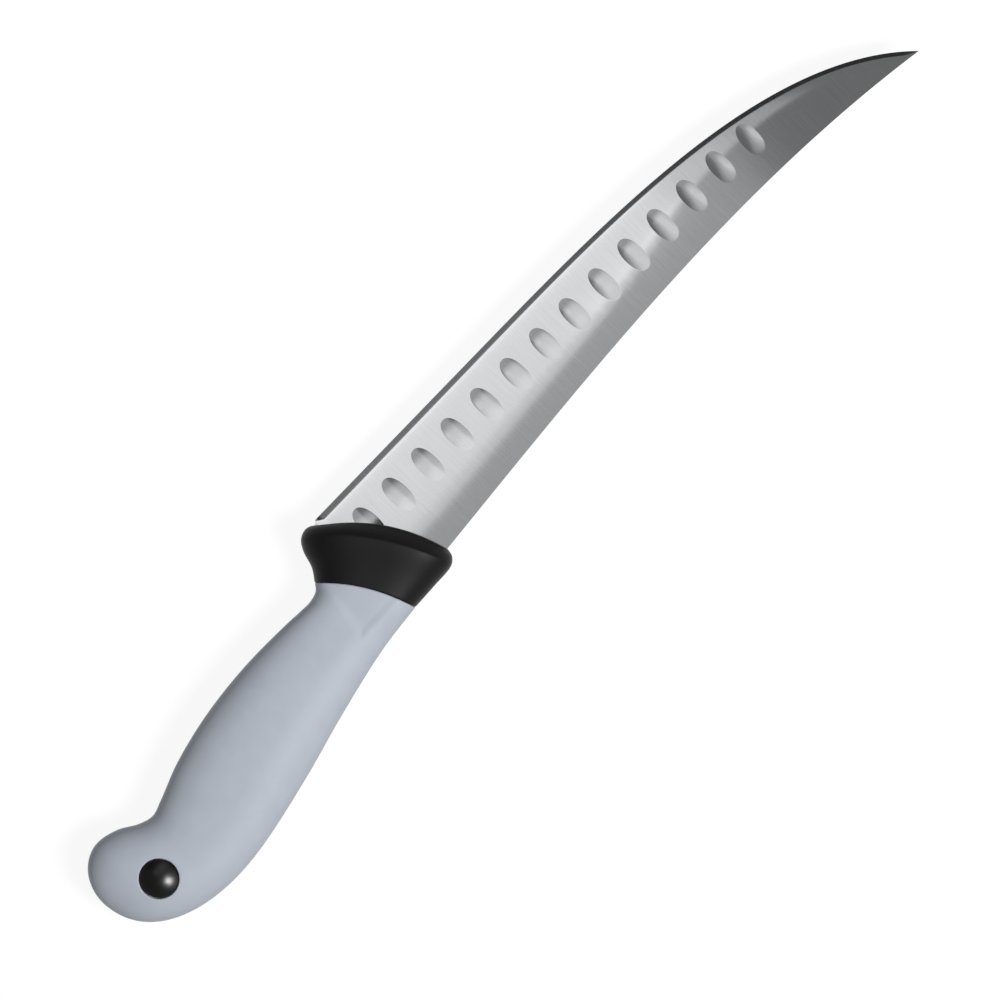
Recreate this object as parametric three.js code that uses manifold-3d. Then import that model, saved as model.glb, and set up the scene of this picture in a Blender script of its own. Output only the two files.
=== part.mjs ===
import * as THREE from 'three';
import { mergeVertices } from 'three/addons/utils/BufferGeometryUtils.js';
import Module from 'manifold-3d';

const wasm = await Module();
wasm.setup();

// A butcher's trimming knife with a scalloped, trailing-point blade, lying on its side. Sizes in millimetres.
// Drawing axes: +X along the blade to the tip, +Y from the spine to the cutting edge, +Z off the flat of the
// blade. Zero is where the front of the guard crosses the blade's middle line.

// Fits
const CLEARANCE = 0.3; // gap left between neighbouring pieces

// Blade outline
const BLADE_LENGTH = 209.6; // front of the guard to the tip
const EDGE_OFFSET = 16.8; // straight stretch of the cutting edge, from the middle line
const BELLY_LENGTH = 154.2; // curved stretch of the edge, back from the tip
const BELLY_STRAIGHT_PULL = 59.7; // how far the straight edge runs on into the curve
const BELLY_TIP_PULL = 31; // length of the run into the tip
const BELLY_TIP_RISE = 31.7; // height of the run into the tip
const SPINE_OFFSET = 17.8; // spine at the guard, from the middle line
const SPINE_HEEL_PULL = 11.8; // spine curve handle at a third of the blade
const SPINE_TIP_PULL = 4; // spine curve handle at two thirds of the blade
const TIP_OFFSET = 15; // trailing point, from the middle line on the spine side

// Blade section
const BLADE_THICKNESS = 3; // at the guard
const TIP_THICKNESS = 1.1; // at the tip
const TAPER_START = 12; // the flats are parallel up to here, then thin towards the tip
const SHOULDER_THICKNESS = 0.9; // behind the sharpened bevel
const GRIND_SLOPE = 0.039; // rise of the ground face per millimetre from the bevel
const BEVEL_AT_HEEL = 1.86; // width of the sharpened bevel
const BEVEL_AT_TIP = 1.2;
const BEVEL_FULL = -10.9; // the bevel has its full width from here on
const BEVEL_END = -13.8; // and runs out here, in front of the unsharpened heel
const HEEL_START = -13; // behind this the heel draws in from the edge line
const HEEL_LENGTH = 1.8;
const HEEL_STEP = 1.2; // how far it draws in
const BEVEL_SHARE = 0.5; // towards the tip the bevel takes at most this share of the blade's height
const GRIND_SHARE = 0.8; // and the ground face at most this share of what is left
const SHOULDER_SHARE = 0.8; // and the shoulder at most this share of the thickness

// Scallops
const SCALLOP_COUNT = 14;
const SCALLOP_PITCH = 12.29;
const SCALLOP_FIRST = -3.5;
const SCALLOP_WIDTH = 6.1;
const SCALLOP_HEIGHT_HEEL = 12.4;
const SCALLOP_HEIGHT_TIP = 11.6;
const SCALLOP_OFFSET_HEEL = 4.3; // centre line of the row, from the middle line
const SCALLOP_OFFSET_TIP = 3;
const SCALLOP_DEPTH = 0.45;
const SCALLOP_LEAN = THREE.MathUtils.degToRad(4);

// Tang, hidden in the handle
const TANG_THICKNESS = 2.8;
const TANG_ROOT_WIDTH = 15;
const TANG_END_WIDTH = 11.5;
const TANG_ROOT_FLARE = 3; // fillet from the tang to the heel shoulder
const TANG_ROOT_OFFSET = -5; // tang centre at the guard, across the handle axis
const TANG_TAIL = 7; // length past the rivet
const HEEL_DEPTH = 4.5; // how far the full blade reaches into the guard

// Handle axis: it starts in the middle of the guard and droops towards the spine side
const AXIS_START = new THREE.Vector2(-8, -2.5);
const DROOP = THREE.MathUtils.degToRad(9.5);
const HANDLE_LENGTH = 131.4; // along the axis, to the end of the butt
const BUTT_HEIGHT = 4.5; // end of the butt, across the axis towards the fingers

// Guard, front to rear, drawn on the blade's axes
const HORN_LINE = [[-14.4, 15], [-16.1, 16.5], [-18.4, 16.9], [-21.1, 15.6], [-23.1, 12.4], [-24.6, 7.8],
  [-27.2, 4.05]];
const HEEL_LINE = [[7.2, -17.6], [6.4, -20], [3.6, -21.7], [-3, -22.05], [-11.7, -22.4]];
const FRONT_BOW = 3.65; // how far the front face bulges towards the tip
const JOINT_BOW = 2.1; // the same at the joint with the grip
const GUARD_THICKNESS = 25.6;
const GUARD_NOSE_THICKNESS = 15; // at the front face, after the rounding
const NOSE_SHARE = 0.36; // share of the guard taken up by the rounding
const NOSE_ROUNDING = 1.4; // power of that rounding, 1 is a chamfer and 2 an ellipse
const GUARD_FULLNESS = 3.2; // 2 is an ellipse, more is squarer

// Grip: [share of the length from the joint to the butt, size across the axis]
const FINGER_LINE = [[0.045, 8], [0.128, 9.5], [0.286, 12.6], [0.444, 13.8], [0.593, 12.8], [0.698, 10.5],
  [0.739, 9.95], [0.777, 12], [0.821, 16.2], [0.889, 19]];
const BACK_LINE = [[0.121, 18.2], [0.306, 19.2], [0.474, 21], [0.651, 21.9]];
const THICKNESS_LINE = [[0.1, 21.2], [0.3, 23.6], [0.5, 24.4], [0.72, 22.8], [0.85, 24]];
const JOINT_THICKNESS = 22.4;
const FINGER_ROUNDING = 2; // power of the rounding at the butt, 2 is an ellipse
const BACK_ROUNDING = 2.2;
const SIDE_ROUNDING = 2.4;
const GRIP_FULLNESS = 2.7;
const BOW_SHARE = 0.35; // share of the grip over which the joint's bow fades out
const COVER_WALL = 2.5; // soft cover
const TENON_LENGTH = 5; // core into guard

// Butt rivet
const RIVET_FROM_BUTT = 16.2;
const RIVET_HEIGHT = -2.2; // across the axis
const RIVET_HEAD_DIAMETER = 11.3;
const RIVET_DOME = 1.5; // height of the dome
const RIVET_RIM_SINK = 0.9; // rim below the surface of the grip
const RIVET_SEAT_DEPTH = 1; // spot face into the core
const RIVET_SHANK_DIAMETER = 4.6;
const RIVET_SLEEVE_DIAMETER = 6.8;
const RIVET_SHANK_REACH = 5; // shank past the blade's middle plane

// Facets
const RING_SIDES = 24;
const GUARD_RINGS = 14;
const GRIP_STEPS = 2; // rings to each stretch of the finger line
const BUTT_RINGS = 8;
const HEEL_STEPS = 24;
const HEEL_OVERRUN = 1.4; // the shoulder's curve runs on past the spine
const STRAIGHT_STATIONS = 8;
const BELLY_STATIONS = 22;
const CURVE_STEPS = 10;
const DOME_RINGS = 5;
const ROUND_SIDES = 24;
const SCALLOP_SIDES = 14;
const SCALLOP_RINGS = [0, 0.45, 0.8, 1.25]; // radii of the hollow's rings, 1 is its rim on the blade
const REACH = 60; // length of cutting tools past the work

const half = (size) => size / 2;
const mix = THREE.MathUtils.lerp;
const share = (value, from, to) => THREE.MathUtils.clamp((value - from) / (to - from), 0, 1);
const point = (pair) => new THREE.Vector2(pair[0], pair[1]);

// Superellipse rounding: 1 at the start, 0 at the end, square to the axis at both.
const rounding = (along, power) => Math.max(0, 1 - along ** power) ** (1 / power);

// A closed three.js geometry as a solid, ready for cutting and joining.
function solid(geometry) {
  const bare = geometry.clone();
  bare.deleteAttribute('normal');
  bare.deleteAttribute('uv');
  const merged = mergeVertices(bare);
  const vertProperties = new Float32Array(merged.attributes.position.array);
  const triVerts = new Uint32Array(merged.index.array);
  return new wasm.Manifold(new wasm.Mesh({ numProp: 3, vertProperties, triVerts }));
}

// The triangles of a finished solid as a three.js geometry.
function geometryOf(body) {
  const mesh = body.getMesh();
  const geometry = new THREE.BufferGeometry();
  geometry.setAttribute('position', new THREE.BufferAttribute(new Float32Array(mesh.vertProperties), 3));
  geometry.setIndex(new THREE.BufferAttribute(new Uint32Array(mesh.triVerts), 1));
  geometry.computeVertexNormals();
  return geometry;
}

// Skin over rings of points that mirror in Z about their first and middle points. The first ring is closed by
// strips across Z, the last one too, or by a fan to a pole.
function loft(rings, pole = null) {
  const sides = rings[0].length;
  const positions = rings.flat().flatMap((corner) => corner.toArray());
  const index = [];
  for (let r = 0; r + 1 < rings.length; r += 1) {
    for (let k = 0; k < sides; k += 1) {
      const low = r * sides + k;
      const next = r * sides + (k + 1) % sides;
      index.push(low, next, next + sides, low, next + sides, low + sides);
    }
  }
  const closeAcross = (base, flip) => {
    for (let k = 0; k < sides / 2; k += 1) {
      const corners = [k, k + 1, sides - k - 1, (sides - k) % sides].map((corner) => base + corner);
      const triangles = [[0, 2, 1], [0, 3, 2]].map((triangle) => triangle.map((corner) => corners[corner]));
      triangles.filter((t) => new Set(t).size === 3).forEach((t) => index.push(...(flip ? t.reverse() : t)));
    }
  };
  closeAcross(0, false);
  const last = (rings.length - 1) * sides;
  if (pole) {
    positions.push(...pole.toArray());
    for (let k = 0; k < sides; k += 1) {
      index.push(last + k, last + (k + 1) % sides, last + sides);
    }
  } else {
    closeAcross(last, true);
  }
  const geometry = new THREE.BufferGeometry();
  geometry.setAttribute('position', new THREE.Float32BufferAttribute(positions, 3));
  geometry.setIndex(index);
  return geometry;
}

// Plan outline as a flat plate, centred on the blade's middle plane.
function plate(outline, thickness) {
  const settings = { depth: thickness, bevelEnabled: false, curveSegments: CURVE_STEPS };
  return new THREE.ExtrudeGeometry(outline, settings).translate(0, 0, -half(thickness));
}

// Smooth line through [at, value] pairs, level at its last point.
function smoothLine(pairs) {
  const line = new THREE.CubicInterpolant(pairs.map((pair) => pair[0]), pairs.map((pair) => pair[1]), 1);
  line.settings = { endingStart: THREE.ZeroCurvatureEnding, endingEnd: THREE.ZeroSlopeEnding };
  return (at) => line.evaluate(at)[0];
}

// Blade outline and section
const heelBack = HEEL_START - HEEL_LENGTH;
const tip = new THREE.Vector2(BLADE_LENGTH, -TIP_OFFSET);
const bellyStart = BLADE_LENGTH - BELLY_LENGTH;
const belly = new THREE.CubicBezierCurve(
  new THREE.Vector2(bellyStart, EDGE_OFFSET),
  new THREE.Vector2(bellyStart + BELLY_STRAIGHT_PULL, EDGE_OFFSET),
  new THREE.Vector2(BLADE_LENGTH - BELLY_TIP_PULL, BELLY_TIP_RISE - TIP_OFFSET),
  tip,
);
const spine = new THREE.CubicBezierCurve(
  new THREE.Vector2(0, -SPINE_OFFSET),
  new THREE.Vector2(BLADE_LENGTH / 3, -SPINE_HEEL_PULL),
  new THREE.Vector2(BLADE_LENGTH * 2 / 3, -SPINE_TIP_PULL),
  tip,
);
const spineHeight = (x) => spine.getPoint(x / BLADE_LENGTH).y;
const bevelWidth = (x) => mix(BEVEL_AT_HEEL, BEVEL_AT_TIP, share(x, 0, BLADE_LENGTH));
const flatHalf = (x) => half(mix(BLADE_THICKNESS, TIP_THICKNESS, share(x, TAPER_START, BLADE_LENGTH)));

// Edge height and slope at a distance along the blade.
function edgeAt(x) {
  if (x <= bellyStart) {
    return { y: EDGE_OFFSET, slope: 0 };
  }
  let low = 0;
  let high = 1;
  while (high - low > 1e-7) {
    const middle = half(low + high);
    if (belly.getPoint(middle).x < x) {
      low = middle;
    } else {
      high = middle;
    }
  }
  const tangent = belly.getTangent(low);
  return { y: belly.getPoint(low).y, slope: tangent.y / tangent.x };
}

// Heights and half thicknesses across the blade: edge, bevel shoulder, grind line and spine.
function bladeSection(x) {
  const edge = edgeAt(x);
  const spineY = spineHeight(x);
  const edgeY = edge.y - HEEL_STEP * (1 - share(x, heelBack, HEEL_START));
  const bevel = Math.min(bevelWidth(x) * Math.hypot(1, edge.slope), BEVEL_SHARE * (edge.y - spineY));
  const shoulderY = Math.min(edge.y - bevel * share(x, BEVEL_END, BEVEL_FULL), edgeY);
  const shoulderHalf = Math.min(half(SHOULDER_THICKNESS), SHOULDER_SHARE * flatHalf(x));
  const grind = Math.min((flatHalf(x) - shoulderHalf) / GRIND_SLOPE, GRIND_SHARE * (shoulderY - spineY));
  const grindY = shoulderY - grind;
  const bodyHalf = shoulderHalf + grind * GRIND_SLOPE;
  return { edgeY, shoulderY, shoulderHalf, grindY, bodyHalf, spineY };
}

// Half thickness of the blade at a place on its side.
function bladeHalf(x, y) {
  const section = bladeSection(x);
  return mix(section.bodyHalf, section.shoulderHalf, share(y, section.grindY, section.shoulderY));
}

// The blade before its scallops, heel and tang, grown by a fit all round.
function bladeBlank(grow) {
  const stations = [heelBack - HEEL_DEPTH, heelBack, BEVEL_END, HEEL_START, BEVEL_FULL, TAPER_START];
  for (let k = 1; k <= STRAIGHT_STATIONS; k += 1) {
    stations.push(mix(TAPER_START, bellyStart, k / STRAIGHT_STATIONS));
  }
  for (let k = 1; k < BELLY_STATIONS; k += 1) {
    stations.push(belly.getPoint(k / BELLY_STATIONS).x);
  }
  const rings = stations.map((x) => {
    const s = bladeSection(x);
    const upper = [
      [s.shoulderY, s.shoulderHalf + grow],
      [s.grindY, s.bodyHalf + grow],
      [s.spineY - grow, s.bodyHalf + grow],
    ];
    const lower = upper.map(([y, z]) => [y, -z]).reverse();
    const ring = [[s.edgeY + grow, 0], ...upper, [s.spineY - grow, 0], ...lower];
    return ring.map(([y, z]) => new THREE.Vector3(x, y, z));
  });
  return solid(loft(rings, new THREE.Vector3(tip.x + grow, tip.y - grow, 0)));
}

// One hollow-ground oval, as the tool that cuts it, placed on the blade's upper side.
function scallopTool(x) {
  const along = share(x, SCALLOP_FIRST, SCALLOP_FIRST + SCALLOP_PITCH * (SCALLOP_COUNT - 1));
  const height = mix(SCALLOP_HEIGHT_HEEL, SCALLOP_HEIGHT_TIP, along);
  const y = mix(SCALLOP_OFFSET_HEEL, SCALLOP_OFFSET_TIP, along);
  const edgeSide = bladeHalf(x, y + half(height));
  const spineSide = bladeHalf(x, y - half(height));
  const bowl = SCALLOP_RINGS.map((radius) => new THREE.Vector2(radius, SCALLOP_DEPTH * (radius ** 2 - 1)));
  const lid = new THREE.Vector2(0, bowl.at(-1).y);
  const tool = new THREE.LatheGeometry([...bowl, lid], SCALLOP_SIDES);
  tool.rotateX(Math.PI / 2);
  tool.scale(half(SCALLOP_WIDTH), half(height), 1);
  tool.rotateZ(SCALLOP_LEAN);
  tool.rotateX(Math.atan2(edgeSide - spineSide, height));
  return solid(tool.translate(x, y, half(edgeSide + spineSide)));
}

// Handle axis: a place given along it and across it, towards the fingers.
const alongAxis = new THREE.Vector2(-Math.cos(DROOP), -Math.sin(DROOP));
const acrossAxis = new THREE.Vector2(-Math.sin(DROOP), Math.cos(DROOP));

function onHandle(along, across) {
  return AXIS_START.clone().addScaledVector(alongAxis, along).addScaledVector(acrossAxis, across);
}

function handlePlace(place) {
  const offset = place.clone().sub(AXIS_START);
  return { along: offset.dot(alongAxis), across: offset.dot(acrossAxis) };
}

// Ring of the handle between a point on the finger side and one on the back, bulging towards the tip.
function handleRing(finger, back, bow, thickness, fullness, inset = 0) {
  const chord = finger.clone().sub(back);
  const normal = new THREE.Vector2(chord.y, -chord.x).normalize();
  const reach = half(chord.length()) - inset;
  const middle = finger.clone().add(back).multiplyScalar(0.5);
  const direction = chord.normalize();
  const swell = (value) => Math.sign(value) * Math.abs(value) ** (2 / fullness);
  return Array.from({ length: RING_SIDES }, (_, k) => {
    const angle = (-2 * Math.PI * k) / RING_SIDES; // this way round the faces point out
    const v = swell(Math.cos(angle));
    const z = swell(Math.sin(angle)) * (half(thickness) - inset);
    const place = middle.clone().addScaledVector(direction, v * reach);
    place.addScaledVector(normal, bow * (1 - v * v));
    return new THREE.Vector3(place.x, place.y, z);
  });
}

// Guard
const hornLine = new THREE.SplineCurve(HORN_LINE.map(point));
const heelLine = new THREE.SplineCurve(HEEL_LINE.map(point));

function guardThickness(u) {
  if (u < NOSE_SHARE) {
    return mix(GUARD_NOSE_THICKNESS, GUARD_THICKNESS, rounding(1 - u / NOSE_SHARE, NOSE_ROUNDING));
  }
  return mix(GUARD_THICKNESS, JOINT_THICKNESS, THREE.MathUtils.smoothstep(u, NOSE_SHARE, 1));
}

function guardRing(u) {
  const bow = mix(FRONT_BOW, JOINT_BOW, u);
  return handleRing(hornLine.getPoint(u), heelLine.getPoint(u), bow, guardThickness(u), GUARD_FULLNESS);
}

// Grip: both sides run from the joint to the end of the butt, where they are rounded off.
const jointFinger = handlePlace(hornLine.getPoint(1));
const jointBack = handlePlace(heelLine.getPoint(1));
const fingerHeight = smoothLine([[0, jointFinger.across], ...FINGER_LINE]);
const backHeight = smoothLine([[0, -jointBack.across], ...BACK_LINE]);
const gripThickness = smoothLine([[0, JOINT_THICKNESS], ...THICKNESS_LINE]);

function gripSide(w, start, line, heightAt, side, power, inset) {
  const [roundFrom, roundHeight] = line.at(-1);
  if (w <= roundFrom) {
    return onHandle(mix(start, HANDLE_LENGTH, w), side * heightAt(w));
  }
  const turn = share(w, roundFrom, 1);
  const along = mix(mix(start, HANDLE_LENGTH, roundFrom), HANDLE_LENGTH - inset, turn);
  return onHandle(along, mix(BUTT_HEIGHT, side * roundHeight, rounding(turn, power)));
}

function gripThicknessAt(w) {
  const [roundFrom, thickness] = THICKNESS_LINE.at(-1);
  return w <= roundFrom ? gripThickness(w) : thickness * rounding(share(w, roundFrom, 1), SIDE_ROUNDING);
}

function gripRing(w, inset = 0) {
  const finger = gripSide(w, jointFinger.along, FINGER_LINE, fingerHeight, 1, FINGER_ROUNDING, inset);
  const back = gripSide(w, jointBack.along, BACK_LINE, backHeight, -1, BACK_ROUNDING, inset);
  const bow = JOINT_BOW * (1 - THREE.MathUtils.smoothstep(w, 0, BOW_SHARE));
  const fullness = mix(GUARD_FULLNESS, GRIP_FULLNESS, THREE.MathUtils.smoothstep(w, 0, BOW_SHARE));
  return handleRing(finger, back, bow, gripThicknessAt(w), fullness, inset);
}

const slide = (ring, distance) => ring.map((corner) => new THREE.Vector3(
  corner.x + alongAxis.x * distance,
  corner.y + alongAxis.y * distance,
  corner.z,
));

// Form of the grip, set in from its surface. Its front ring is slid along the axis by start. A form that is
// set in leaves out the last ring before the butt's end, which is no thicker than the inset.
function gripForm(inset, start) {
  const roundFrom = FINGER_LINE.at(-1)[0];
  const rings = [slide(gripRing(0, inset), start)];
  if (start < 0) {
    rings.push(gripRing(0, inset));
  }
  FINGER_LINE.forEach(([to], stretch) => {
    const from = stretch > 0 ? FINGER_LINE[stretch - 1][0] : 0;
    for (let k = 1; k <= GRIP_STEPS; k += 1) {
      rings.push(gripRing(mix(from, to, k / GRIP_STEPS), inset));
    }
  });
  const lastTurn = inset > 0 ? 1 - 1 / BUTT_RINGS : 1;
  for (let k = 1; k < BUTT_RINGS; k += 1) {
    const turn = Math.sin((k / BUTT_RINGS) * lastTurn * half(Math.PI));
    rings.push(gripRing(mix(roundFrom, 1, turn), inset));
  }
  const end = onHandle(HANDLE_LENGTH - inset, BUTT_HEIGHT);
  return loft(rings, new THREE.Vector3(end.x, end.y, 0));
}

// Rivet place, and the grip's half thickness there
const rivetAt = onHandle(HANDLE_LENGTH - RIVET_FROM_BUTT, RIVET_HEIGHT);
const gripMiddle = half(jointFinger.along + jointBack.along);
const rivetShare = share(HANDLE_LENGTH - RIVET_FROM_BUTT, gripMiddle, HANDLE_LENGTH);
const rivetSurface = half(gripThicknessAt(rivetShare));
const rivetSeat = rivetSurface - COVER_WALL - CLEARANCE - RIVET_SEAT_DEPTH;
const headUnder = rivetSeat + CLEARANCE;

function rivetTool(diameter, from, to) {
  const tool = new THREE.CylinderGeometry(half(diameter), half(diameter), to - from, ROUND_SIDES);
  tool.rotateX(Math.PI / 2);
  return solid(tool.translate(rivetAt.x, rivetAt.y, half(from + to)));
}

const throughRivet = (diameter) => rivetTool(diameter, -REACH, REACH);

// The guard's front face in plan: v is 1 at the finger side and -1 at the back, depth is how far behind it.
const frontFinger = hornLine.getPoint(0);
const frontBack = heelLine.getPoint(0);
const frontMiddle = frontFinger.clone().add(frontBack).multiplyScalar(0.5);
const frontReach = frontFinger.clone().sub(frontMiddle);
const frontNormal = new THREE.Vector2(frontReach.y, -frontReach.x).normalize();

function behindFront(v, depth) {
  const place = frontMiddle.clone().addScaledVector(frontReach, v);
  return place.addScaledVector(frontNormal, FRONT_BOW * (1 - v * v) - depth);
}

// Tang: from inside the heel, with its root flared into the heel's shoulder, to a round end past the rivet.
function tangOutline(grow) {
  const root = onHandle(0, TANG_ROOT_OFFSET);
  const along = rivetAt.clone().sub(root).normalize();
  const across = new THREE.Vector2(-along.y, along.x).negate();
  const atRivet = (l, m) => rivetAt.clone().addScaledVector(along, l).addScaledVector(across, m);
  const middle = handlePlace(frontMiddle).across;
  const reach = frontReach.dot(acrossAxis);
  const shoulder = (m, depth) => behindFront((TANG_ROOT_OFFSET + m - middle) / reach, depth);
  const inHeel = half(HEEL_DEPTH) - grow;
  const atShoulder = HEEL_DEPTH + grow;
  const rootHalf = half(TANG_ROOT_WIDTH) + grow;
  const flareHalf = rootHalf + TANG_ROOT_FLARE;
  const endHalf = half(TANG_END_WIDTH) + grow;
  const tail = TANG_TAIL + grow;
  const fingerCorner = shoulder(rootHalf, atShoulder);
  const backCorner = shoulder(-rootHalf, atShoulder);
  const outline = new THREE.Shape();
  outline.moveTo(...shoulder(0, inHeel));
  outline.lineTo(...shoulder(flareHalf, inHeel));
  outline.lineTo(...shoulder(flareHalf, atShoulder));
  outline.quadraticCurveTo(...fingerCorner, ...fingerCorner.addScaledVector(along, TANG_ROOT_FLARE));
  outline.lineTo(...atRivet(0, endHalf));
  outline.quadraticCurveTo(...atRivet(tail, endHalf), ...atRivet(tail, 0));
  outline.quadraticCurveTo(...atRivet(tail, -endHalf), ...atRivet(0, -endHalf));
  outline.lineTo(...backCorner.clone().addScaledVector(along, TANG_ROOT_FLARE));
  outline.quadraticCurveTo(...backCorner, ...shoulder(-flareHalf, atShoulder));
  outline.lineTo(...shoulder(-flareHalf, inHeel));
  outline.closePath();
  return outline;
}

const tangSolid = (grow) => solid(plate(tangOutline(grow), TANG_THICKNESS + 2 * grow));

// Everything in front of the heel: its shoulder follows the guard's front face at the heel's depth behind it.
function heelOutline(grow) {
  const outline = new THREE.Shape();
  const back = heelBack - grow;
  const steps = Array.from({ length: HEEL_STEPS + 1 }, (_, k) => mix(1, -HEEL_OVERRUN, k / HEEL_STEPS));
  const shoulder = steps.map((v) => behindFront(v, HEEL_DEPTH + grow)).filter((place) => place.x > back);
  outline.moveTo(BLADE_LENGTH + REACH, REACH);
  outline.lineTo(back, REACH);
  outline.lineTo(back, shoulder[0].y);
  shoulder.forEach((place) => outline.lineTo(...place));
  outline.lineTo(BLADE_LENGTH + REACH, -REACH);
  outline.closePath();
  return outline;
}

const heelCut = (grow) => bladeBlank(grow).intersect(solid(plate(heelOutline(grow), REACH)));

// The scallops of the far side stand half a pitch further on than those of the upper side.
function bladeGeometry() {
  let body = heelCut(0);
  for (let k = 0; k < SCALLOP_COUNT; k += 1) {
    body = body.subtract(scallopTool(SCALLOP_FIRST + k * SCALLOP_PITCH));
  }
  for (let k = 0; k + 1 < SCALLOP_COUNT; k += 1) {
    const tool = scallopTool(SCALLOP_FIRST + half(SCALLOP_PITCH) + k * SCALLOP_PITCH);
    body = body.subtract(tool.mirror([0, 0, 1]));
  }
  body = body.add(tangSolid(0)).subtract(throughRivet(RIVET_SLEEVE_DIAMETER + 2 * CLEARANCE));
  return geometryOf(body);
}

function guardGeometry() {
  const rings = Array.from({ length: GUARD_RINGS + 1 }, (_, k) => guardRing(k / GUARD_RINGS));
  const mouth = gripRing(0, COVER_WALL);
  const tenonSocket = [slide(mouth, -TENON_LENGTH - CLEARANCE), slide(mouth, TENON_LENGTH)];
  const pocket = heelCut(CLEARANCE).add(tangSolid(CLEARANCE));
  return geometryOf(solid(loft(rings)).subtract(solid(loft(tenonSocket))).subtract(pocket));
}

function coreGeometry() {
  const seatDiameter = RIVET_HEAD_DIAMETER + 2 * CLEARANCE;
  const body = solid(gripForm(COVER_WALL + CLEARANCE, -TENON_LENGTH))
    .subtract(tangSolid(CLEARANCE))
    .subtract(throughRivet(RIVET_SLEEVE_DIAMETER + 2 * CLEARANCE))
    .subtract(rivetTool(seatDiameter, rivetSeat, REACH))
    .subtract(rivetTool(seatDiameter, -REACH, -rivetSeat));
  return geometryOf(body);
}

function gripGeometry() {
  const body = solid(gripForm(0, CLEARANCE))
    .subtract(solid(gripForm(COVER_WALL, -TENON_LENGTH)))
    .subtract(throughRivet(RIVET_HEAD_DIAMETER + 2 * CLEARANCE));
  return geometryOf(body);
}

// Domed head, from the seat on the core to the top of the dome, as points from the rim to the axis.
function headProfile() {
  const radius = half(RIVET_HEAD_DIAMETER);
  const rim = rivetSurface - RIVET_RIM_SINK;
  const dome = Array.from({ length: DOME_RINGS + 1 }, (_, k) => {
    const out = Math.cos((k / DOME_RINGS) * half(Math.PI));
    return new THREE.Vector2(out * radius, rim + RIVET_DOME * (1 - out * out));
  });
  return [new THREE.Vector2(radius, headUnder), ...dome];
}

function rivetGeometry(stem) {
  return new THREE.LatheGeometry([...stem, ...headProfile()], ROUND_SIDES).rotateX(Math.PI / 2);
}

const shankRadius = half(RIVET_SHANK_DIAMETER);
const sleeveRadius = half(RIVET_SLEEVE_DIAMETER);
const maleStem = [
  [0, -RIVET_SHANK_REACH],
  [shankRadius, -RIVET_SHANK_REACH],
  [shankRadius, headUnder],
].map(point);

// The sleeve's bore takes the shank, and its mouth stops short of the male head.
const sleeveMouth = -headUnder + CLEARANCE;
const boreEnd = RIVET_SHANK_REACH + CLEARANCE;
const boreRadius = shankRadius + CLEARANCE;
const femaleStem = [
  [0, boreEnd],
  [boreRadius, boreEnd],
  [boreRadius, sleeveMouth],
  [sleeveRadius, sleeveMouth],
  [sleeveRadius, headUnder],
].map(point);

function piece(name, geometry, color, roughness, metalness) {
  const mesh = new THREE.Mesh(geometry, new THREE.MeshStandardMaterial({ color, roughness, metalness }));
  mesh.name = name;
  return mesh;
}

const blade = piece('blade', bladeGeometry(), 0xc4c6c8, 0.32, 1);
const guard = piece('guard', guardGeometry(), 0x1e1e1f, 0.5, 0);
const core = piece('core', coreGeometry(), 0x2a2a2b, 0.6, 0);
const grip = piece('grip', gripGeometry(), 0xa5abb8, 0.62, 0);
const rivetMale = piece('rivet_male', rivetGeometry(maleStem), 0x121213, 0.15, 0);
const rivetFemale = piece('rivet_female', rivetGeometry(femaleStem), 0x121213, 0.15, 0);
rivetMale.position.set(rivetAt.x, rivetAt.y, 0);
rivetFemale.position.set(rivetAt.x, rivetAt.y, 0);
rivetFemale.rotation.x = Math.PI;

const handle = new THREE.Group();
handle.add(guard, core, grip, rivetMale, rivetFemale);

const knife = new THREE.Group();
knife.add(blade, handle);

// The origin is under the middle of the knife, on the surface it lies on.
const box = new THREE.Box3().setFromObject(knife, true);
const centre = box.getCenter(new THREE.Vector3());
knife.position.set(-centre.x, -centre.y, -box.min.z);

export default knife;
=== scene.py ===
# %% [markdown]
# # Butcher's trimming knife
#
# The knife lies on its side: a scalloped, trailing-point blade of satin steel, a slanted black guard, a
# pale soft grip with a hooked butt, and a polished rivet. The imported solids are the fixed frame. Each
# visible piece is worked out again here as a fine numpy surface in the same place, and gets its finish.

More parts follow.
